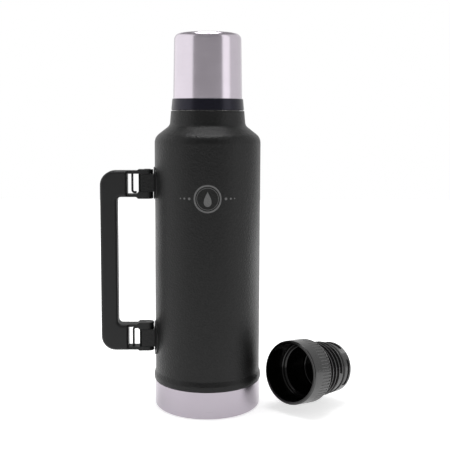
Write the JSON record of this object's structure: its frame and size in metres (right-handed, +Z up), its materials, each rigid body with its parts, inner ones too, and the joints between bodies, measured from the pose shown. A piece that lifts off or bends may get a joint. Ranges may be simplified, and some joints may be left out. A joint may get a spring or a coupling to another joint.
{
  "type": "growler",
  "caption": "Tall double-wall vacuum flask with a folding side handle, a steel screw cup on a black ring and a loose screw stopper lying beside it.",
  "frame": {"origin": "on the bottle's axis, in the plane that its base ring stands on", "axes": "+Z up the bottle's axis to the cup, -X to the handle, +Y away from the printed front"},
  "size_m": [0.2559, 0.1101, 0.3762],
  "materials": {
    "body_paint": "matt black textured powder coat",
    "bracket_paint": "matt black powder coat",
    "bare_steel": "bare stainless steel, brushed round the axis",
    "inner_steel": "bare stainless steel, satin",
    "pin_steel": "black coated steel",
    "spring_steel": "black coated spring steel",
    "foil": "bright copper foil",
    "seal_glass": "fused sealing bead",
    "getter_metal": "sintered grey metal",
    "handle_plastic": "black moulded polypropylene, fine grain",
    "ring_plastic": "black moulded polypropylene",
    "stopper_plastic": "black moulded polypropylene",
    "liner_plastic": "glossy black moulding",
    "foam": "rigid insulating foam",
    "seal_rubber": "black silicone"
  },
  "bodies": {
    "bottle": {"outer_shell": "body_paint", "base_cup": "bare_steel", "jacket_bottom": "inner_steel", "vacuum_seal": "seal_glass", "inner_flask": "inner_steel", "flask_bottom": "inner_steel", "flask_foil": "foil", "getter": "getter_metal", "neck_spigot": "bare_steel", "neck_liner": "inner_steel", "mouth_ring": "bare_steel", "upper_bracket": "bracket_paint", "lower_bracket": "bracket_paint"},
    "handle": {"handle": "handle_plastic", "upper_hinge_pin": "pin_steel", "lower_hinge_pin": "pin_steel", "upper_detent_spring": "spring_steel", "lower_detent_spring": "spring_steel"},
    "cup_lift": {"cup_gasket": "seal_rubber"},
    "cup": {"cup_shell": "bare_steel", "cup_ring": "ring_plastic"},
    "stopper": {"stopper_shell": "stopper_plastic", "stopper_liner": "liner_plastic", "stopper_foam": "foam", "stopper_cap": "stopper_plastic", "stopper_seal": "seal_rubber", "stopper_flange_gasket": "seal_rubber"}
  },
  "joints": [
    {"name": "handle_fold", "type": "hinge", "parent": "bottle", "child": "handle", "pos_m": [-0.0607, 0, 0.1485], "axis": [0, 0, 1], "range_deg": [-90, 90]},
    {"name": "cup_rise", "type": "slide", "parent": "bottle", "child": "cup_lift", "axis": [0, 0, 1], "range_m": [0, 0.015]},
    {"name": "cup_turn", "type": "hinge", "parent": "cup_lift", "child": "cup", "pos_m": [0, 0, 0.34], "axis": [0, 0, 1], "range_deg": [0, 1080]},
    {"name": "stopper_pick_up", "type": "slide", "parent": "bottle", "child": "stopper", "axis": [0, 0, 1], "range_m": [0, 0.1]}
  ],
  "couplings": [
    {"joint": "cup_turn", "follows": "cup_rise", "rad_per_m": 1256.6}
  ]
}
